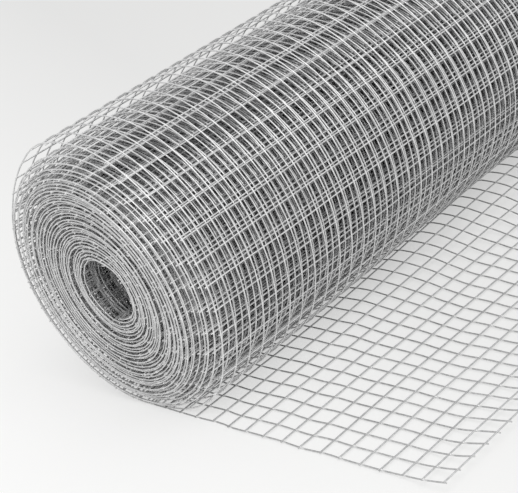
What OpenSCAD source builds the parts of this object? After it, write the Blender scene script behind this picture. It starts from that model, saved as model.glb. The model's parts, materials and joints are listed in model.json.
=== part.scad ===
// Roll of galvanised welded wire fencing, lying on its side, with its loose end
// unrolled flat on the floor. Millimetres. The origin is the centre of the bore
// halfway along the roll, +X runs out along the loose end, +Y along the roll's
// axis and +Z up.

/* [Mesh] */
// Wire diameter
wire_d = 1.4; // [1:0.1:2.2]
// Spacing of the cross wires, along the sheet
cross_pitch = 25.4; // [20:0.1:40]
// Spacing of the line wires, across the sheet
line_pitch = 19.05; // [12.7:0.05:25.4]
// Spaces between line wires across the sheet
line_spaces = 48; // [24:2:60]
// How deep a cross wire is sunk into a line wire at a weld
weld_sink = 0.3; // [0.2:0.05:0.5]

/* [Roll] */
// Outer diameter of the roll
roll_d = 282; // [220:1:340]
// Diameter of the open bore
bore_d = 65; // [50:1:100]
// Spacing of the wound turns
turn_pitch = 4.1; // [3.6:0.1:6]
// Length of the middle of the roll, where the turns are joined
middle_len = 200; // [100:10:400]

/* [Loose end] */
// Cross wires on the loose end
loose_cross_wires = 15; // [6:1:15]
// Distance from the roll's lowest line to the first of those cross wires
first_cross_x = 44.1; // [40:0.1:70]
// Length of the wire stubs past the last cross wire
stub_len = 2; // [1:0.5:6]
// Clearance between the roll and the wires that run under it
roll_clearance = 0.3; // [0.2:0.1:1]

/* [Hidden] */

// Roll
roll_len = line_spaces * line_pitch + wire_d;
roll_r = roll_d / 2;
bore_r = bore_d / 2;
turn_count = floor((roll_r - bore_r - wire_d) / turn_pitch) + 1;
// The turns are spread so that the first lies at the bore and the last outside.
ring_pitch = (roll_r - bore_r - wire_d) / (turn_count - 1);
// The gaps between the turns run in from both ends as far as the middle.
turn_gap_depth = (roll_len - middle_len) / 2;
// The line wires of the last turn stand half their thickness proud.
line_gap_depth = wire_d / 2;
eps = 0.01;

// Wires of the loose end: six flat sides, one of them on the floor
wire_sides = 6;
wire_corner_d = wire_d / cos(180 / wire_sides);
floor_z = -roll_r;
line_z = floor_z + wire_d / 2;
cross_z = line_z + wire_d - weld_sink;
// Where the round underside of the roll is a line wire's height off the floor
under_h = wire_d + roll_clearance;
line_start_x = sqrt(2 * roll_r * under_h - under_h * under_h);
line_end_x = first_cross_x + (loose_cross_wires - 1) * cross_pitch + wire_d / 2 + stub_len;
near_y = -line_spaces * line_pitch / 2;
// The near half keeps the middle line wire.
near_line_last = floor(line_spaces / 2);
split_y = near_y + (near_line_last + 0.5) * line_pitch;

// One gap between neighbouring turns, as a ring-shaped groove in an end
module turn_gap(index, inward_from) {
    translate([bore_r + wire_d + index * ring_pitch, inward_from])
        square([ring_pitch - wire_d, turn_gap_depth + eps]);
}

// One gap between neighbouring line wires, as a groove round the outside
module line_gap(index) {
    translate([roll_r - line_gap_depth, near_y + index * line_pitch + wire_d / 2])
        square([line_gap_depth + eps, line_pitch - wire_d]);
}

// Half section of the wound roll, radius along X and length along Y
module roll_section() {
    difference() {
        translate([bore_r, -roll_len / 2])
            square([roll_r - bore_r, roll_len]);
        for (i = [0 : turn_count - 2]) {
            turn_gap(i, -roll_len / 2 - eps);
            turn_gap(i, roll_len / 2 - turn_gap_depth);
        }
        for (j = [0 : line_spaces - 1])
            line_gap(j);
    }
}

// The wound turns as one turned solid with its bore
module roll() {
    color("silver")
        rotate([-90, 0, 0])
            rotate_extrude($fn = 160)
                roll_section();
}

// A straight wire along X, from x_from to x_to
module line_wire(y, x_from, x_to) {
    translate([x_from, y, line_z])
        rotate([0, 90, 0])
            rotate([0, 0, 180 / wire_sides])
                cylinder(d = wire_corner_d, h = x_to - x_from, $fn = wire_sides);
}

// A straight wire along Y, from y_from to y_to
module cross_wire(x, y_from, y_to) {
    translate([x, y_from, cross_z])
        rotate([-90, 0, 0])
            rotate([0, 0, 180 / wire_sides])
                cylinder(d = wire_corner_d, h = y_to - y_from, $fn = wire_sides);
}

// A flat stretch of welded mesh: line wires first_line to last_line, with cross wires on top
module welded_mesh(first_line, last_line, y_from, y_to) {
    union() {
        for (j = [first_line : last_line])
            line_wire(near_y + j * line_pitch, line_start_x, line_end_x);
        for (i = [0 : loose_cross_wires - 1])
            cross_wire(first_cross_x + i * cross_pitch, y_from, y_to);
    }
}

// Near half of the loose end
module loose_end_near() {
    color("gainsboro")
        welded_mesh(0, near_line_last, -roll_len / 2, split_y);
}

// Far half of the loose end
module loose_end_far() {
    color("gainsboro")
        welded_mesh(near_line_last + 1, line_spaces, split_y, roll_len / 2);
}

roll();
loose_end_near();
loose_end_far();
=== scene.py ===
"""Roll of galvanised welded wire fencing, lying on its side with its loose end unrolled on the floor.

Every wire of the sheet is modelled: the line wires run in one spiral from the bore to the free end, and the
cross wires are welded to their inner side. Sizes of the sheet are millimetres until a mesh is made. Sizes of
the studio and of the finishes are metres.
"""
from __future__ import annotations

import json
import logging
import math
from dataclasses import dataclass, field
from enum import Enum
from typing import Any, Union

import bpy
import numpy as np
from mathutils import Matrix, Vector


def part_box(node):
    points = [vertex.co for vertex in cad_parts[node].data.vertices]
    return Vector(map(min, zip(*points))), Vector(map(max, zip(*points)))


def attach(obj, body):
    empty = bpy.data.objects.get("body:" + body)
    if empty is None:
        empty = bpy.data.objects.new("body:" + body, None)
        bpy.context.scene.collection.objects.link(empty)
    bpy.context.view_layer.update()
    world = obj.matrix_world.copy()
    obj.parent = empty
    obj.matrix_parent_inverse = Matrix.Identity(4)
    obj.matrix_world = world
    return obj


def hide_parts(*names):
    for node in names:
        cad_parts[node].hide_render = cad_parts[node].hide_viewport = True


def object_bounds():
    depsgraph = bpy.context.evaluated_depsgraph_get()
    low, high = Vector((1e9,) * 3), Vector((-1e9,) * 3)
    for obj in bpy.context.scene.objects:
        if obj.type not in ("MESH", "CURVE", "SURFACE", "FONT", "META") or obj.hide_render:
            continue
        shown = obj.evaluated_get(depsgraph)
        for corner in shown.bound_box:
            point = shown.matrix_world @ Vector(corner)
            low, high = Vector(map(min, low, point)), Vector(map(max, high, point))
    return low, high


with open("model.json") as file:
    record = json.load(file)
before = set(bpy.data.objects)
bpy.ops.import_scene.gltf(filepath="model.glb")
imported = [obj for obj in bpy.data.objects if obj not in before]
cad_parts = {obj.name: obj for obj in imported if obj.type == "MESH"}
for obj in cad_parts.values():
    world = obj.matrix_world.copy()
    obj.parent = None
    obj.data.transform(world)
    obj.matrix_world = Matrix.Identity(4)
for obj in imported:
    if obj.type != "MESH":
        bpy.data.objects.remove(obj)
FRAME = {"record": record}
FRAME_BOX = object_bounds()

LOG = logging.getLogger("wire_roll")
MM = 0.001
FULL_TURN = 2 * math.pi
TURN_DEG = 360.0
# Bearings go round the roll in degrees: its lowest line is at 270, its side over the loose end at 0 and its
# top at 90
LOWEST_DEG = 270.0
BODY = "root"
IMAGE_WIDTH_PX = 518
SENSOR_WIDTH = 36.0
# Sockets of a Mix node that mixes colours
MIX_FACTOR = 0
MIX_FIRST = 6
MIX_SECOND = 7
MIX_COLOUR = 2
# A bead has 20 faces
BEAD_SUBDIVISIONS = 1

Number = Union[float, "Sock"]
Range = tuple[float, float]
Triple = tuple[float, float, float]


def smooth_step(value: np.ndarray, low: float, high: float) -> np.ndarray:
    """Ease from 0 at low to 1 at high.

    Args:
        value: Numbers to ease.
        low: Where the ease starts.
        high: Where it ends, above or below low.

    Returns:
        The eased numbers.
    """
    share = np.clip((value - low) / (high - low), 0.0, 1.0)
    return share * share * (3.0 - 2.0 * share)


def one_side(bearing: np.ndarray, middle: float) -> np.ndarray:
    """Pick out one side of the roll.

    Args:
        bearing: Angle round the roll in degrees.
        middle: Middle of that side.

    Returns:
        1 in its middle, easing to 0 opposite.
    """
    return 0.5 + 0.5 * np.cos(np.radians(bearing - middle))


def opaque(colour: Triple) -> tuple[float, float, float, float]:
    """Give a colour full alpha."""
    return (*colour, 1.0)


@dataclass(frozen=True)
class Wander:
    """A smooth random line through knots at an even step."""

    seed: int
    step: float
    size: float
    knot_count: int = 4096

    def at(self, place: np.ndarray) -> np.ndarray:
        """Read the line.

        Args:
            place: Where to read it.

        Returns:
            Its value there, within plus or minus size.
        """
        knots = np.random.default_rng(self.seed).uniform(-1.0, 1.0, self.knot_count)
        index = np.floor(place / self.step).astype(int)
        share = smooth_step(place / self.step - index, 0.0, 1.0)
        first = knots[index % self.knot_count]
        second = knots[(index + 1) % self.knot_count]
        return self.size * (first + (second - first) * share)


@dataclass(frozen=True)
class OuterPath:
    """How far the loose outer turn stands off an even spiral, and how far the turns under it follow it."""

    # Bearing and distance, from the lowest line over the top and round to the lowest line again
    knots: tuple[Range, ...] = (
        (270, 0), (215, 0.2), (178, 0.8), (152, 0.8), (137, 3), (121, 9.3), (112, 14), (104, 18.6),
        (96, 19.6), (88, 19.8), (80, 19.2), (70, 17), (50, 11), (25, 6.5), (0, 6), (-25, 9.5), (-48, 14),
        (-66, 10.5), (-90, 0))
    # Share of it that each turn takes, from the outer one inwards
    follow: tuple[float, ...] = (1.0, 0.45, 0.2, 0.1, 0.04, 0.0)

    def at(self, turn: np.ndarray, bearing: np.ndarray) -> np.ndarray:
        """Read the path.

        Args:
            turn: Turns counted inwards from the lowest line.
            bearing: Angle round the roll in degrees, from 270 down to -90 in each turn.

        Returns:
            How far the sheet stands off there.
        """
        bearings, heights = np.array(self.knots[::-1]).T
        slopes = np.gradient(heights, bearings)
        index = np.clip(np.searchsorted(bearings, bearing, side="right") - 1, 0, len(bearings) - 2)
        gap = bearings[index + 1] - bearings[index]
        share = (bearing - bearings[index]) / gap
        first = heights[index] + gap * share * slopes[index]
        second = heights[index + 1] - gap * (1.0 - share) * slopes[index + 1]
        blend = smooth_step(share, 0.0, 1.0)
        whole = np.clip(np.floor(turn), 0, len(self.follow) - 1).astype(int)
        return (first + (second - first) * blend) * np.array(self.follow)[whole]


class Sock:
    """A node's value that takes part in Python arithmetic by adding Math nodes."""

    def __init__(self, graph: "Graph", socket: bpy.types.NodeSocket) -> None:
        """Keep the graph and the socket."""
        self.graph = graph
        self.socket = socket

    def _math(self, operation: str, first: Number, second: Number) -> "Sock":
        """Add one Math node.

        Args:
            operation: The node's operation.
            first: Its first value or link.
            second: Its second value or link.

        Returns:
            The node's result.
        """
        return self.graph.node("ShaderNodeMath", {"operation": operation}, {0: first, 1: second})

    def __add__(self, other: Number) -> "Sock":
        """Sum."""
        return self._math("ADD", self, other)

    __radd__ = __add__

    def __mul__(self, other: Number) -> "Sock":
        """Product."""
        return self._math("MULTIPLY", self, other)

    __rmul__ = __mul__

    def __pow__(self, other: Number) -> "Sock":
        """Power."""
        return self._math("POWER", self, other)


class Graph:
    """A node tree with one method that makes any node."""

    def __init__(self, tree: bpy.types.NodeTree) -> None:
        """Keep the tree and empty it."""
        self.tree = tree
        tree.nodes.clear()

    def node(self, kind: str, settings: dict[str, Any] | None = None,
             inputs: dict[Any, Any] | None = None, output: Any = 0) -> Sock:
        """Make a node.

        Args:
            kind: The node's type.
            settings: Its properties, set first.
            inputs: Values or links for its input sockets, by name or index.
            output: Which output to hand back.

        Returns:
            That output, or the first input of a node that has no output.
        """
        made = self.tree.nodes.new(kind)
        for name, value in (settings or {}).items():
            setattr(made, name, value)
        for name, value in (inputs or {}).items():
            if isinstance(value, Sock):
                self.tree.links.new(value.socket, made.inputs[name])
            else:
                made.inputs[name].default_value = value
        return Sock(self, made.outputs[output]) if made.outputs else Sock(self, made.inputs[0])

    def mix(self, share: Sock, first: Any, second: Any) -> Sock:
        """Mix two colours.

        Args:
            share: How much of the second colour to take, held between 0 and 1.
            first: A colour with alpha, or a link.
            second: Another one.

        Returns:
            The mixed colour.
        """
        return self.node("ShaderNodeMix", {"data_type": "RGBA", "clamp_factor": True},
                         {MIX_FACTOR: share, MIX_FIRST: first, MIX_SECOND: second}, MIX_COLOUR)


class WireSides(Enum):
    """How many sides a swept wire has."""

    DEEP = 4
    SEEN = 6


@dataclass(frozen=True)
class GalvanisedZinc:
    """Dull hot-dip zinc: grey crystals, paler zinc at the welds that is partly painted highlight, and a soft
    metal gloss.
    """

    name: str = "galvanised_zinc"
    dark_zinc: Triple = (0.16, 0.163, 0.168)
    pale_zinc: Triple = (0.83, 0.83, 0.83)
    weld_zinc_and_highlight: Triple = (0.88, 0.88, 0.88)
    # How much a wire's tone (its own random tone, with painted shade on the inner turns and the loose end),
    # its crystals and the clouds over it turn dark zinc to pale
    tone_share: float = 0.70
    spangle_share: float = 0.25
    cloud_share: float = 0.18
    # The pale mark at a weld is partly the weld's own zinc and partly painted highlight
    weld_and_highlight_share: float = 0.85
    weld_and_highlight_tightness: float = 2.5
    spangle_per_m: float = 420.0
    cloud_per_m: float = 34.0
    cloud_detail: float = 3.0
    cloud_roughness: float = 0.6
    grain_per_m: float = 1900.0
    grain_detail: float = 2.0
    roughness_low: float = 0.36
    roughness_span: float = 0.24
    # How much of that span follows the clouds and the crystals
    rough_by_cloud: float = 0.6
    rough_by_spangle: float = 0.4
    metallic: float = 0.6
    bump_strength: float = 0.35
    bump_m: float = 0.00006
    # How high the crystals stand beside the grain
    bump_by_spangle: float = 0.5

    def material(self) -> bpy.types.Material:
        """Build the finish.

        Returns:
            The node material.
        """
        material = bpy.data.materials.new(self.name)
        material.use_nodes = True
        graph = Graph(material.node_tree)
        place = graph.node("ShaderNodeTexCoord", output="Object")
        crystals = graph.node("ShaderNodeTexVoronoi", {"feature": "F1"},
                              {"Vector": place, "Scale": self.spangle_per_m}, "Color")
        spangle = graph.node("ShaderNodeRGBToBW", None, {"Color": crystals})
        cloud = graph.node("ShaderNodeTexNoise", None,
                           {"Vector": place, "Scale": self.cloud_per_m, "Detail": self.cloud_detail,
                            "Roughness": self.cloud_roughness})
        grain = graph.node("ShaderNodeTexNoise", None,
                           {"Vector": place, "Scale": self.grain_per_m, "Detail": self.grain_detail})
        # The tone attribute holds each wire's own tone, with painted shade on the inner turns and the loose
        # end
        tone = graph.node("ShaderNodeAttribute", {"attribute_name": "tone"}, output="Fac")
        weld = graph.node("ShaderNodeAttribute", {"attribute_name": "weld"}, output="Fac")
        pale = tone * self.tone_share + spangle * self.spangle_share + cloud * self.cloud_share
        zinc = graph.mix(pale, opaque(self.dark_zinc), opaque(self.pale_zinc))
        # Pale zinc at the welds, partly the weld's own and partly painted highlight
        zinc_with_weld_and_highlight = graph.mix(weld ** self.weld_and_highlight_tightness * self.weld_and_highlight_share, zinc, opaque(self.weld_zinc_and_highlight))
        uneven = self.rough_by_cloud * cloud + self.rough_by_spangle * spangle
        rough = self.roughness_low + self.roughness_span * uneven
        bump = graph.node("ShaderNodeBump", None,
                          {"Strength": self.bump_strength, "Distance": self.bump_m,
                           "Height": grain + spangle * self.bump_by_spangle})
        shader = graph.node("ShaderNodeBsdfPrincipled", None,
                            {"Base Color": zinc_with_weld_and_highlight, "Metallic": self.metallic, "Roughness": rough,
                             "Normal": bump})
        graph.node("ShaderNodeOutputMaterial", None, {"Surface": shader})
        return material


@dataclass(frozen=True)
class StudioFloor:
    """Pale paper floor that keeps a soft shadow, with painted light and shade: paler in front of the roll,
    darker behind it and under the loose end.
    """

    name: str = "pale_floor"
    shaded_back_colour: Triple = (0.83, 0.83, 0.825)
    lit_front_colour: Triple = (0.98, 0.98, 0.975)
    roughness: float = 0.9
    specular: float = 0.1
    glow_share: float = 0.62
    glow_strength: float = 1.0
    # Painted light and shade: how the paper turns from the shaded back colour to the lit front colour: at the
    # origin, and by metres along Y and X
    lit_front_start: float = -0.18
    lit_front_by_y: float = -1.5
    lit_front_by_x: float = -0.68

    def material(self) -> bpy.types.Material:
        """Build the floor's finish.

        Returns:
            The node material.
        """
        material = bpy.data.materials.new(self.name)
        material.use_nodes = True
        graph = Graph(material.node_tree)
        place = graph.node("ShaderNodeTexCoord", output="Object")
        x, y = (graph.node("ShaderNodeSeparateXYZ", None, {"Vector": place}, axis) for axis in "XY")
        # The paper's colour carries painted light and shade, paler in front of the roll; the glow shows it
        # too
        front = self.lit_front_start + self.lit_front_by_y * y + self.lit_front_by_x * x
        colour = graph.mix(front, opaque(self.shaded_back_colour), opaque(self.lit_front_colour))
        paper = graph.node("ShaderNodeBsdfPrincipled", None,
                           {"Base Color": colour, "Roughness": self.roughness,
                            "Specular IOR Level": self.specular})
        glow = graph.node("ShaderNodeEmission", None, {"Color": colour, "Strength": self.glow_strength})
        seen, mirrored, through = (graph.node("ShaderNodeLightPath", output=ray) for ray in
                                   ("Is Camera Ray", "Is Glossy Ray", "Is Transmission Ray"))
        share = (seen + mirrored + through) * self.glow_share
        shader = graph.node("ShaderNodeMixShader", None, {0: share, 1: paper, 2: glow})
        graph.node("ShaderNodeOutputMaterial", None, {"Surface": shader})
        return material


@dataclass
class Runs:
    """Polylines that wires are swept along, with a tone and a mark of pale weld zinc and painted highlight at
    each point.
    """

    points: list[np.ndarray] = field(default_factory=list)
    tones: list[np.ndarray] = field(default_factory=list)
    welds: list[np.ndarray] = field(default_factory=list)

    def add(self, points: np.ndarray, tone: float | np.ndarray, welds: np.ndarray | None = None) -> None:
        """Add one wire.

        Args:
            points: Its centre line, in millimetres.
            tone: How pale its zinc is, for the whole wire or for each point; where it is dark on the inner
                turns and the loose end it is painted shade.
            welds: 1 where the pale zinc of a weld, partly painted highlight, is full and 0 where there is
                none, or nothing.
        """
        self.points.append(points)
        self.tones.append(np.broadcast_to(tone, len(points)))
        self.welds.append(np.zeros(len(points)) if welds is None else welds)

    def mesh(self, name: str) -> bpy.types.Mesh:
        """Make the centre lines an edge mesh in metres.

        Args:
            name: The mesh's name.

        Returns:
            The mesh, with its point attributes.
        """
        counts = [len(run) for run in self.points]
        starts = np.cumsum([0] + counts[:-1])
        edges = np.concatenate([np.stack([np.arange(start, start + count - 1),
                                          np.arange(start + 1, start + count)], axis=1)
                                for start, count in zip(starts, counts)])
        mesh = bpy.data.meshes.new(name)
        mesh.from_pydata(np.concatenate(self.points) * MM, edges.tolist(), [])
        for label, values in (("tone", self.tones), ("weld", self.welds)):
            attribute = mesh.attributes.new(label, "FLOAT", "POINT")
            attribute.data.foreach_set("value", np.concatenate(values).astype(np.float32))
        return mesh


class NodeTool:
    """A Geometry Nodes tree with named inputs, used to turn a mesh into a finished piece."""

    def __init__(self, name: str, inputs: dict[str, str]) -> None:
        """Start the tree with its sockets.

        Args:
            name: The tree's name.
            inputs: The socket type of each named input beside the geometry.
        """
        self.tree = bpy.data.node_groups.new(name, "GeometryNodeTree")
        self.graph = Graph(self.tree)
        self.sockets: dict[str, str] = {}
        for way in ("INPUT", "OUTPUT"):
            self.tree.interface.new_socket("Geometry", in_out=way, socket_type="NodeSocketGeometry")
        for label, kind in inputs.items():
            socket = self.tree.interface.new_socket(label, in_out="INPUT", socket_type=kind)
            self.sockets[label] = socket.identifier

    def inlet(self, name: str) -> Sock:
        """Hand back a named input inside the tree."""
        return self.graph.node("NodeGroupInput", output=name)

    def close(self, geometry: Sock) -> None:
        """End the tree in Realize Instances and Set Material.

        Args:
            geometry: What the tree has made.
        """
        graph = self.graph
        smooth = graph.node("GeometryNodeSetShadeSmooth", None, {"Geometry": geometry})
        real = graph.node("GeometryNodeRealizeInstances", None, {"Geometry": smooth})
        done = graph.node("GeometryNodeSetMaterial", None,
                          {"Geometry": real, "Material": self.inlet("Material")})
        graph.node("NodeGroupOutput", None, {"Geometry": done})

    def run(self, name: str, source: bpy.types.Mesh, values: dict[str, Any]) -> bpy.types.Object:
        """Run the tree on a mesh.

        Args:
            name: The piece's name.
            source: The mesh that the tree takes in.
            values: The named inputs.

        Returns:
            A piece with a plain mesh and no modifier.
        """
        piece = bpy.data.objects.new(name, source)
        bpy.context.scene.collection.objects.link(piece)
        modifier = piece.modifiers.new("shape", "NODES")
        modifier.node_group = self.tree
        for label, value in values.items():
            modifier[self.sockets[label]] = value
        graph = bpy.context.evaluated_depsgraph_get()
        result = bpy.data.meshes.new_from_object(piece.evaluated_get(graph), depsgraph=graph)
        piece.modifiers.remove(modifier)
        piece.data = result
        result.name = name
        bpy.data.meshes.remove(source)
        return piece


def wire_sweep() -> NodeTool:
    """Make the tree that sweeps a wire along every polyline of a mesh.

    Returns:
        The tool, with inputs Wire radius, Sides and Material.
    """
    tool = NodeTool("wire_sweep", {"Wire radius": "NodeSocketFloat", "Sides": "NodeSocketInt",
                                   "Material": "NodeSocketMaterial"})
    graph = tool.graph
    curve = graph.node("GeometryNodeMeshToCurve", None, {"Mesh": tool.inlet("Geometry")})
    section = graph.node("GeometryNodeCurvePrimitiveCircle", {"mode": "RADIUS"},
                         {"Resolution": tool.inlet("Sides"), "Radius": tool.inlet("Wire radius")})
    swept = graph.node("GeometryNodeCurveToMesh", None,
                       {"Curve": curve, "Profile Curve": section, "Fill Caps": True})
    tool.close(swept)
    return tool


def weld_nuggets() -> NodeTool:
    """Make the tree that sets a bead of zinc on every weld point.

    Returns:
        The tool, with inputs Bead radius, Height and Material.
    """
    tool = NodeTool("weld_nuggets", {"Bead radius": "NodeSocketFloat", "Height": "NodeSocketFloat",
                                     "Material": "NodeSocketMaterial"})
    graph = tool.graph
    bead = graph.node("GeometryNodeMeshIcoSphere", None,
                      {"Radius": tool.inlet("Bead radius"), "Subdivisions": BEAD_SUBDIVISIONS})
    facing = graph.node("GeometryNodeInputNamedAttribute", {"data_type": "FLOAT_VECTOR"}, {"Name": "facing"})
    turn = graph.node("FunctionNodeAlignRotationToVector", {"axis": "Z"}, {"Vector": facing})
    shape = graph.node("ShaderNodeCombineXYZ", None, {"X": 1.0, "Y": 1.0, "Z": tool.inlet("Height")})
    beads = graph.node("GeometryNodeInstanceOnPoints", None,
                       {"Points": tool.inlet("Geometry"), "Instance": bead, "Rotation": turn, "Scale": shape})
    tool.close(beads)
    return tool


@dataclass
class MeshSheet:
    """The welded sheet: its wires, and the path that it takes from the bore to the free end.

    A place on it is given by along, the distance from the roll's lowest line towards the free end, which is
    negative on the roll, and across, the distance from the middle of its width, which is negative on the near
    side.
    """

    wire_d: float = 1.4
    weld_sink: float = 0.3
    cross_pitch: float = 25.4
    line_pitch: float = 19.05
    stub: float = 2.0
    turn_pitch: float = 2.87
    # The outer turns are loose: each is longer than a tight one by this much more than the turn under it
    loose_step: float = 7.4
    loose_turns: float = 5.5
    # Extra sheet in the first part of the outer turn
    lead: float = 7.0
    lead_len: float = 300.0
    # The outermost turn stands off along the top and beside the loose end
    outer_path: OuterPath = OuterPath()
    # Beside the loose end it lies closer again away from the near end: share lost, where across the sheet
    # that starts and is full, and where round the roll it starts and is full
    closer_share: float = 0.85
    closer_across: Range = (-440.0, 130.0)
    closer_deg: Range = (10.0, -40.0)
    # Turns lie closer together outside and wider apart inside on this side of the roll
    tight: float = 6.0
    tight_deg: float = 205.0
    tight_power: float = 0.7
    # Unevenness of the spiral: slow waves from turn to turn, and lobes of the innermost turns
    wave_heights: Range = (0.6, 0.25)
    wave_turns: Range = (5.1, 2.6)
    wave_phase: float = 0.7
    lobe_heights: Range = (0.8, 0.9)
    lobe_counts: tuple[int, int] = (5, 2)
    lobe_phase: float = 0.6
    lobe_fade_turns: float = 5.5
    gap_wander: Wander = Wander(11, 60.0, 0.4)
    kink: Wander = Wander(12, 17.0, 0.18)
    creep: Wander = Wander(16, 300.0, 2.5)
    # Turns over which the unevenness sets in
    uneven_turns: Range = (0.02, 0.5)
    # Shift of the innermost turn off the centre, sideways and up
    bore_shift: Range = (4.0, -1.5)
    # Telescoping: how far the turns stick out of the near end, how far the outer ones are pushed back on one
    # side, and how far the innermost are set back
    face_out: float = 6.0
    push_back: float = 26.0
    push_deg: float = 20.0
    push_power: float = 1.32
    push_turns: float = 8.0
    dish: float = 4.0
    face_wander: Wander = Wander(13, 0.8, 1.9)
    # On the tight side the edges of the outer turns are staggered, which fades over these turns
    stagger: Wander = Wander(17, 0.37, 2.2)
    stagger_turns: Range = (8.0, 16.0)
    # Free end: how far it curls up, and over what length
    curl_lift: float = 8.5
    curl_len: float = 76.0
    # The loose end arches up beside the roll: how high, where across the sheet that starts and is full, and
    # where along it the arch starts, is highest and ends
    arch_height: float = 18.0
    arch_across: Range = (-330.0, 90.0)
    arch_out: Triple = (20.0, 75.0, 195.0)
    # It is also pulled askew on the floor towards the near edge: how far, and where that starts and is full
    skew: float = 26.0
    skew_across: Range = (-438.0, -133.0)
    skew_out: Range = (60.0, 310.0)
    # Small waves of the loose end, up off the floor and sideways: where along it they start and are full, and
    # how they run slantwise over it
    floor_wave: Wander = Wander(14, 70.0, 0.8)
    floor_wave_out: Range = (60.0, 160.0)
    floor_wave_slant: float = 0.35
    edge_wave: Wander = Wander(15, 40.0, 1.3)
    edge_wave_out: Range = (30.0, 120.0)
    edge_wave_slant: Range = (1.3, 0.9)
    # Steps of the table that turns lengths of sheet into turns
    grid_steps: int = 8000

    def __post_init__(self) -> None:
        """Read the driving sizes from the frame."""
        low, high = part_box("roll")
        mounts = {mount["name"]: mount for mount in FRAME["record"]["mounts"]}
        bore_r = mounts["spindle_bore"]["dims"]["r_mm"]
        self.half_width = (high[1] - low[1]) / 2 / MM - self.wire_d / 2
        self.line_count = round(2 * self.half_width / self.line_pitch) + 1
        self.free_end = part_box("loose_end_near")[1][0] / MM
        self.last_cross = self.free_end - self.stub - self.wire_d / 2
        self.weld_step = self.wire_d - self.weld_sink
        self.outer_r = (high[2] - low[2]) / 2 / MM - self.wire_d / 2
        inner_r = bore_r + self.wire_d / 2 + self.weld_step
        self.turns = round((self.outer_r - inner_r) / self.turn_pitch)
        self.pitch = (self.outer_r - inner_r) / self.turns
        self.turn_grid = np.linspace(0.0, self.turns, self.grid_steps + 1)
        self.length_grid = self.sheet_in(self.turn_grid)
        self.wound_len = self.length_grid[-1]

    def sheet_in(self, turns: float | np.ndarray) -> float | np.ndarray:
        """Find the length of sheet in that many turns.

        Args:
            turns: Turns counted from the outside.

        Returns:
            The length in millimetres.
        """
        loose = np.minimum(turns, self.loose_turns)
        extra = self.loose_step * loose * (self.loose_turns - loose / 2)
        return math.pi * turns * (2 * self.outer_r - turns * self.pitch) + extra

    def turn_angle(self, along: np.ndarray) -> np.ndarray:
        """Find the angle wound back from the roll's lowest line.

        Args:
            along: Places along the sheet, in millimetres.

        Returns:
            The angle in radians, 0 at the lowest line and on the loose end.
        """
        back = np.maximum(-along, 0.0)
        back = back + smooth_step(back, 0.0, self.lead_len) * (self.lead + self.creep.at(along))
        return FULL_TURN * np.interp(back, self.length_grid, self.turn_grid)

    def stand_off(self, turn: np.ndarray, bearing: np.ndarray, along: np.ndarray,
                  across: np.ndarray) -> np.ndarray:
        """Find how far a wound place stands off from an even spiral.

        Args:
            turn: Turns counted inwards from the lowest line.
            bearing: Angle round the roll in degrees.
            along: Places along the sheet.
            across: Places across the sheet.

        Returns:
            The distance outwards in millimetres.
        """
        side = one_side(bearing, self.tight_deg) ** 2
        tight = self.tight * side * np.sin(math.pi * (turn / self.turns) ** self.tight_power)
        waves = sum(height * np.sin(FULL_TURN * turn / period + self.wave_phase * period)
                    for height, period in zip(self.wave_heights, self.wave_turns))
        lobes = sum(height * np.cos(count * np.radians(bearing) + self.lobe_phase * count)
                    for height, count in zip(self.lobe_heights, self.lobe_counts))
        inner = np.exp(-(self.turns - turn) / self.lobe_fade_turns)
        small = self.gap_wander.at(along) + self.kink.at(along)
        uneven = smooth_step(turn, *self.uneven_turns) * (waves + small)
        in_turn = LOWEST_DEG - TURN_DEG * (turn - np.floor(turn))
        closer = smooth_step(across, *self.closer_across) * smooth_step(in_turn, *self.closer_deg)
        loose = self.outer_path.at(turn, in_turn) * (1.0 - self.closer_share * closer)
        return loose + tight + uneven + inner * lobes

    def drift(self, turn: np.ndarray, bearing: np.ndarray) -> np.ndarray:
        """Find how far a wound place is shifted along the roll's axis.

        Args:
            turn: Turns counted inwards from the lowest line.
            bearing: Angle round the roll in degrees.

        Returns:
            The shift in millimetres, towards the far end.
        """
        outer = np.clip(1.0 - turn / self.push_turns, 0.0, 1.0)
        pushed = outer * self.push_back * one_side(bearing, self.push_deg) ** self.push_power
        inner = self.dish * (turn / self.turns) ** 2
        ragged = one_side(bearing, self.tight_deg) ** 2
        ragged = ragged * (1.0 - smooth_step(turn, *self.stagger_turns)) * self.stagger.at(turn)
        uneven = smooth_step(turn, 0.0, 1.0) * (self.face_wander.at(turn) + ragged)
        return pushed - self.face_out + inner + uneven

    def wound_place(self, along: np.ndarray, across: np.ndarray, inward: float) -> np.ndarray:
        """Find places of the sheet on the roll.

        Args:
            along: Places along the sheet.
            across: Places across the sheet.
            inward: How far to the inner side of the line wires' centres.

        Returns:
            One row of x, y, z in millimetres for each place.
        """
        angle = self.turn_angle(along)
        turn = angle / FULL_TURN
        theta = math.radians(LOWEST_DEG) - angle
        bearing = np.degrees(theta)
        radius = self.outer_r - self.pitch * turn + self.stand_off(turn, bearing, along, across) - inward
        sideways, upwards = (shift * turn / self.turns for shift in self.bore_shift)
        return np.stack([radius * np.cos(theta) + sideways, across + self.drift(turn, bearing),
                         radius * np.sin(theta) + upwards], axis=1)

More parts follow.
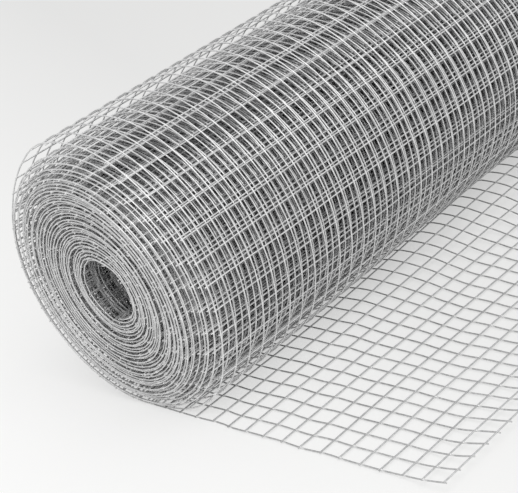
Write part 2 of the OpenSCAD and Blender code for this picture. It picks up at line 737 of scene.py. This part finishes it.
    def flat_place(self, along: np.ndarray, across: np.ndarray, inward: float) -> np.ndarray:
        """Find places of the sheet on the loose end.

        Args:
            along: Places along the sheet.
            across: Places across the sheet.
            inward: How far to the inner side of the line wires' centres, which is upwards here.

        Returns:
            One row of x, y, z in millimetres for each place.
        """
        out = np.maximum(along, 0.0)
        curl = np.maximum(1.0 + (out - self.last_cross) / self.curl_len, 0.0) ** 2
        wave = self.floor_wave.size + self.floor_wave.at(out + self.floor_wave_slant * across)
        ripple = smooth_step(out, *self.floor_wave_out) * wave
        by_out, by_across = self.edge_wave_slant
        edge = smooth_step(out, *self.edge_wave_out) * self.edge_wave.at(out * by_out + across * by_across)
        foot, top, end = self.arch_out
        arch = self.arch_height * smooth_step(across, *self.arch_across)
        arch = arch * smooth_step(out, foot, top) * (1.0 - smooth_step(out, top, end))
        skew = self.skew * smooth_step(across, *self.skew_across) * smooth_step(out, *self.skew_out)
        height = self.curl_lift * curl + ripple + arch
        return np.stack([out, across + edge - skew, -self.outer_r + height + inward], axis=1)

    def place(self, along: np.ndarray, across: np.ndarray, inward: float = 0.0) -> np.ndarray:
        """Find places of the sheet in the frame.

        Args:
            along: Places along the sheet.
            across: Places across the sheet.
            inward: How far to the inner side of the line wires' centres.

        Returns:
            One row of x, y, z in millimetres for each place.
        """
        wound = self.wound_place(along, across, inward)
        flat = self.flat_place(along, across, inward)
        return np.where((along < 0.0)[:, None], wound, flat)

    def facing(self, along: np.ndarray) -> np.ndarray:
        """Find the outward normal of the sheet, from cross wires to line wires.

        Args:
            along: Places along the sheet.

        Returns:
            One unit vector for each place.
        """
        theta = math.radians(LOWEST_DEG) - self.turn_angle(along)
        return np.stack([np.cos(theta), np.zeros_like(theta), np.sin(theta)], axis=1)

    def cross_places(self, start: float, stop: float) -> np.ndarray:
        """Find the cross wires of a stretch.

        Args:
            start: Where the stretch starts along the sheet.
            stop: Where it ends.

        Returns:
            The place of each along the sheet.
        """
        first = math.ceil((start - self.last_cross) / self.cross_pitch)
        last = math.floor((stop - self.last_cross) / self.cross_pitch)
        return self.last_cross + self.cross_pitch * np.arange(first, last + 1)

    def line_places(self) -> np.ndarray:
        """Places of the line wires across the sheet."""
        return -self.half_width + self.line_pitch * np.arange(self.line_count)


@dataclass
class SheetPiece:
    """A stretch of the sheet that becomes one or more pieces."""

    sheet: MeshSheet
    sweep: NodeTool
    nuggets: NodeTool
    zinc: bpy.types.Material
    nodes: tuple[str, ...] = ()
    # How pale the wires' zinc is, and how much paler it is at the free end, which is painted shade that is
    # darkest beside the roll
    line_tone: Range = (0.0, 1.0)
    cross_tone: Range = (0.0, 1.0)
    painted_shade_fade: float = 0.0
    # How pale a cross wire's ends are at least; on the roll the ends at the end faces stay pale, out of the
    # painted shade of the inner turns
    end_tone: float = 0.0
    weld_tone: float = 0.8
    # A bead's radius as a share of the wire's diameter, and its height as a share of that radius
    bead_share: float = 0.62
    bead_height: float = 1.15
    # Points of a line wire in each cell, as shares of the cell from a weld towards the free end, and how much
    # of the weld's pale zinc and painted highlight shows there
    cell_points: tuple[float, ...] = (0.0, 0.5)
    cell_skin_and_highlight: tuple[float, ...] = (1.0, 0.0)
    # How far a cross wire's cut end stands past the centre of the last line wire
    end_range: Range = (1.2, 2.8)
    # A cross wire bows along the sheet, each one by another stretch of this line
    bow: Wander = Wander(21, 90.0, 0.9)
    bow_shift: float = 137.0
    seed: int = 7

    def __post_init__(self) -> None:
        """Start the random draws."""
        self.draw = np.random.default_rng(self.seed)

    def line_runs(self, start: float, stop: float, lines: list[int], line_tone: Range | None = None) -> Runs:
        """Lay out line wires along a stretch.

        Args:
            start: Where the stretch starts along the sheet.
            stop: Where it ends.
            lines: Which line wires.
            line_tone: How pale these wires are, where not as the class says.

        Returns:
            The centre lines.
        """
        sheet = self.sheet
        runs = Runs()
        cells = sheet.cross_places(start - sheet.cross_pitch, stop)
        along = np.add.outer(cells, sheet.cross_pitch * np.array(self.cell_points)).ravel()
        welds = np.tile(self.cell_skin_and_highlight, len(cells))
        inside = (along > start) & (along < stop)
        along = np.concatenate([[start], along[inside], [stop]])
        welds = np.concatenate([[0.0], welds[inside], [0.0]])
        across = sheet.line_places()
        for line in lines:
            points = sheet.place(along, np.full(len(along), across[line]))
            tone = self.draw.uniform(*(line_tone or self.line_tone))
            runs.add(points, tone + self.painted_shade_fade * along / sheet.free_end, welds)
        return runs

    def cross_runs(self, start: float, stop: float, point_count: int,
                   cross_tone: Range | None = None) -> Runs:
        """Lay out cross wires along a stretch.

        Args:
            start: Where the stretch starts along the sheet.
            stop: Where it ends.
            point_count: Points on each wire.
            cross_tone: How pale these wires are, where not as the class says.

        Returns:
            The centre lines.
        """
        sheet = self.sheet
        runs = Runs()
        for index, along in enumerate(sheet.cross_places(start, stop)):
            near, far = self.draw.uniform(*self.end_range, 2)
            across = np.linspace(-sheet.half_width - near, sheet.half_width + far, point_count)
            places = along + self.bow.at(across + self.bow_shift * index)
            tone = self.draw.uniform(*(cross_tone or self.cross_tone))
            tone = tone + self.painted_shade_fade * along / sheet.free_end
            tones = np.full(point_count, tone)
            tones[[0, -1]] = np.maximum(tone, self.end_tone)
            runs.add(sheet.place(places, across, sheet.weld_step), tones)
        return runs

    def sweep_piece(self, name: str, runs: Runs, sides: WireSides) -> None:
        """Sweep wires and put the piece in the frame.

        Args:
            name: The piece's name.
            runs: The centre lines.
            sides: How many sides the wires have.
        """
        count = sides.value
        same_area = math.sqrt(FULL_TURN / (count * math.sin(FULL_TURN / count)))
        piece = self.sweep.run(name, runs.mesh(name + "_paths"), {
            "Wire radius": self.sheet.wire_d / 2 * same_area * MM, "Sides": count, "Material": self.zinc})
        self.settle(piece)

    def nugget_piece(self, name: str, start: float, stop: float, lines: list[int]) -> None:
        """Set a bead on the welds of a stretch and put the piece in the frame.

        Args:
            name: The piece's name.
            start: Where the stretch starts along the sheet.
            stop: Where it ends.
            lines: Which line wires have beads on their welds.
        """
        sheet = self.sheet
        grids = np.meshgrid(sheet.cross_places(start, stop), sheet.line_places()[lines])
        along, across = (grid.ravel() for grid in grids)
        source = bpy.data.meshes.new(name + "_points")
        source.from_pydata(sheet.place(along, across, sheet.weld_step / 2) * MM, [], [])
        attribute = source.attributes.new("facing", "FLOAT_VECTOR", "POINT")
        attribute.data.foreach_set("vector", sheet.facing(along).astype(np.float32).ravel())
        for label, value in (("tone", self.weld_tone), ("weld", 1.0)):
            mark = source.attributes.new(label, "FLOAT", "POINT")
            mark.data.foreach_set("value", np.full(len(along), value, dtype=np.float32))
        piece = self.nuggets.run(name, source, {
            "Bead radius": sheet.wire_d * self.bead_share * MM, "Height": self.bead_height,
            "Material": self.zinc})
        self.settle(piece)

    def settle(self, piece: bpy.types.Object) -> None:
        """Ride a piece on its body and the solids it stands for, and report it.

        Args:
            piece: The finished piece.
        """
        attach(piece, BODY)
        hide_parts(*self.nodes)
        LOG.info("%s: %d faces", piece.name, len(piece.data.polygons))


@dataclass
class WoundRoll(SheetPiece):
    """The wound turns."""

    nodes: tuple[str, ...] = ("roll",)
    line_tone: Range = (0.68, 0.95)
    cross_tone: Range = (0.5, 0.85)
    end_tone: float = 1.0
    # How pale the inner turns' edge wires are, and their wires away from the edges, which are dark with
    # painted shade deep inside the roll
    edge_tone: Range = (0.70, 0.88)
    deep_painted_shade_tone: Range = (0.0, 0.2)
    # Turns that are seen from outside, and how many of those have beads on all their welds
    outer_turns: float = 3.0
    beaded_turns: float = 2.0
    inner_cross_points: int = 15
    outer_cross_points: int = 33

    def build(self) -> None:
        """Build the inner turns, the outer turns and the welds."""
        sheet = self.sheet
        lines = list(range(sheet.line_count))
        edges = [lines[0], lines[-1]]
        third = sheet.line_count // 3
        groups = {"near": lines[1:third], "middle": lines[third:2 * third], "far": lines[2 * third:-1]}
        inner_end = -sheet.wound_len
        outer_start = -sheet.sheet_in(self.outer_turns)
        bead_start = -sheet.sheet_in(self.beaded_turns)
        # The inner turns' wires away from the edges get dark zinc: painted shade deep inside the roll
        for name, group in groups.items():
            runs = self.line_runs(inner_end, outer_start, group, self.deep_painted_shade_tone)
            self.sweep_piece(f"inner_turns_line_wires_{name}", runs, WireSides.DEEP)
        runs = self.line_runs(inner_end, outer_start, edges, self.edge_tone)
        self.sweep_piece("inner_turns_edge_wires", runs, WireSides.SEEN)
        runs = self.cross_runs(inner_end, outer_start, self.inner_cross_points, self.deep_painted_shade_tone)
        self.sweep_piece("inner_turns_cross_wires", runs, WireSides.DEEP)
        runs = self.line_runs(outer_start, 0.0, lines)
        self.sweep_piece("outer_turns_line_wires", runs, WireSides.SEEN)
        runs = self.cross_runs(outer_start, 0.0, self.outer_cross_points)
        self.sweep_piece("outer_turns_cross_wires", runs, WireSides.SEEN)
        self.nugget_piece("outer_turn_welds", bead_start, 0.0, lines)
        self.nugget_piece("inner_turns_edge_welds", inner_end, bead_start, edges)


@dataclass
class LooseEnd(SheetPiece):
    """The loose end that lies on the floor."""

    nodes: tuple[str, ...] = ("loose_end_near", "loose_end_far")
    # The loose end's wires have darker zinc than the roll's, paler towards the free end: painted shade,
    # darkest beside the roll
    line_tone: Range = (0.08, 0.24)
    cross_tone: Range = (0.08, 0.24)
    painted_shade_fade: float = 0.35
    # Here the pale mark runs on past each weld towards the free end: a painted highlight where a line wire
    # rises off the weld
    cell_points: tuple[float, ...] = (0.0, 0.05, 0.16, 0.24, 0.6)
    cell_skin_and_highlight: tuple[float, ...] = (0.4, 1.0, 0.8, 0.0, 0.0)
    cross_points: int = 49
    # How far the cut ends of the line wires are bent along, across and up, at least and at most
    least_bend: Triple = (-0.4, -0.6, -1.0)
    most_bend: Triple = (0.0, 0.6, 0.2)

    def build(self) -> None:
        """Build its line wires, cross wires and welds."""
        sheet = self.sheet
        lines = list(range(sheet.line_count))
        runs = self.line_runs(0.0, sheet.free_end, lines)
        for points in runs.points:
            points[-1] += self.draw.uniform(self.least_bend, self.most_bend)
        self.sweep_piece("loose_end_line_wires", runs, WireSides.SEEN)
        runs = self.cross_runs(0.0, sheet.free_end, self.cross_points)
        self.sweep_piece("loose_end_cross_wires", runs, WireSides.SEEN)
        self.nugget_piece("loose_end_welds", 0.0, sheet.free_end, lines)


@dataclass
class Studio:
    """Floor, light and camera."""

    floor_half: float = 12.0
    sky_colour: Triple = (1.0, 1.0, 1.0)
    sky_strength: float = 0.73
    key_power: float = 24.0
    key_size: float = 1.8
    key_place: Triple = (1.2, -0.65, 1.5)
    # The camera, from a fit to the photograph: place, angles in degrees and focal length in pixels
    camera_place: Triple = (1.1670, -1.1125, 0.5534)
    camera_azimuth: float = 53.97
    camera_elevation: float = 23.08
    camera_roll: float = 19.82
    focal_px: float = 1447.2
    view_end: float = 100.0

    def build(self) -> None:
        """Build all of it."""
        self.floor()
        self.light()
        self.camera()

    def floor(self) -> None:
        """Lay the floor under the object."""
        level = FRAME_BOX[0][2]
        half = self.floor_half
        mesh = bpy.data.meshes.new("studio_floor")
        corners = [(-half, -half, level), (half, -half, level), (half, half, level), (-half, half, level)]
        mesh.from_pydata(corners, [], [(0, 1, 2, 3)])
        floor = bpy.data.objects.new("studio_floor", mesh)
        bpy.context.scene.collection.objects.link(floor)
        mesh.materials.append(StudioFloor().material())

    def light(self) -> None:
        """Set an even sky, and one large soft lamp that faces the origin."""
        world = bpy.data.worlds.new("studio_sky")
        bpy.context.scene.world = world
        world.use_nodes = True
        graph = Graph(world.node_tree)
        sky = graph.node("ShaderNodeBackground", None,
                         {"Color": opaque(self.sky_colour), "Strength": self.sky_strength})
        graph.node("ShaderNodeOutputWorld", None, {"Surface": sky})
        lamp = bpy.data.lights.new("soft_key", "AREA")
        lamp.energy = self.key_power
        lamp.size = self.key_size
        key = bpy.data.objects.new("soft_key", lamp)
        key.location = self.key_place
        key.rotation_euler = Vector(self.key_place).to_track_quat("Z", "Y").to_euler()
        bpy.context.scene.collection.objects.link(key)

    def camera(self) -> None:
        """Place the camera as the photograph was taken."""
        azimuth = math.radians(self.camera_azimuth)
        elevation = math.radians(self.camera_elevation)
        roll = math.radians(self.camera_roll)
        back = Vector((math.sin(azimuth) * math.cos(elevation), -math.cos(azimuth) * math.cos(elevation),
                       math.sin(elevation)))
        level = Vector((math.cos(azimuth), math.sin(azimuth), 0.0))
        down = -back.cross(level)
        right = math.cos(roll) * level + math.sin(roll) * down
        up = math.sin(roll) * level - math.cos(roll) * down
        lens = bpy.data.cameras.new("photo_camera")
        lens.sensor_width = SENSOR_WIDTH
        lens.lens = self.focal_px * SENSOR_WIDTH / IMAGE_WIDTH_PX
        lens.clip_end = self.view_end
        camera = bpy.data.objects.new("photo_camera", lens)
        turn = Matrix((right, up, back)).transposed().to_4x4()
        camera.matrix_world = Matrix.Translation(self.camera_place) @ turn
        bpy.context.scene.collection.objects.link(camera)
        bpy.context.scene.camera = camera


def main() -> None:
    """Build the roll, its loose end and the studio."""
    logging.basicConfig(level=logging.INFO, format="%(name)s: %(message)s")
    bpy.context.scene.view_settings.view_transform = "Standard"
    zinc = GalvanisedZinc().material()
    sheet = MeshSheet()
    sweep = wire_sweep()
    nuggets = weld_nuggets()
    Studio().build()
    LooseEnd(sheet, sweep, nuggets, zinc).build()
    WoundRoll(sheet, sweep, nuggets, zinc).build()


if __name__ == "__main__":
    main()
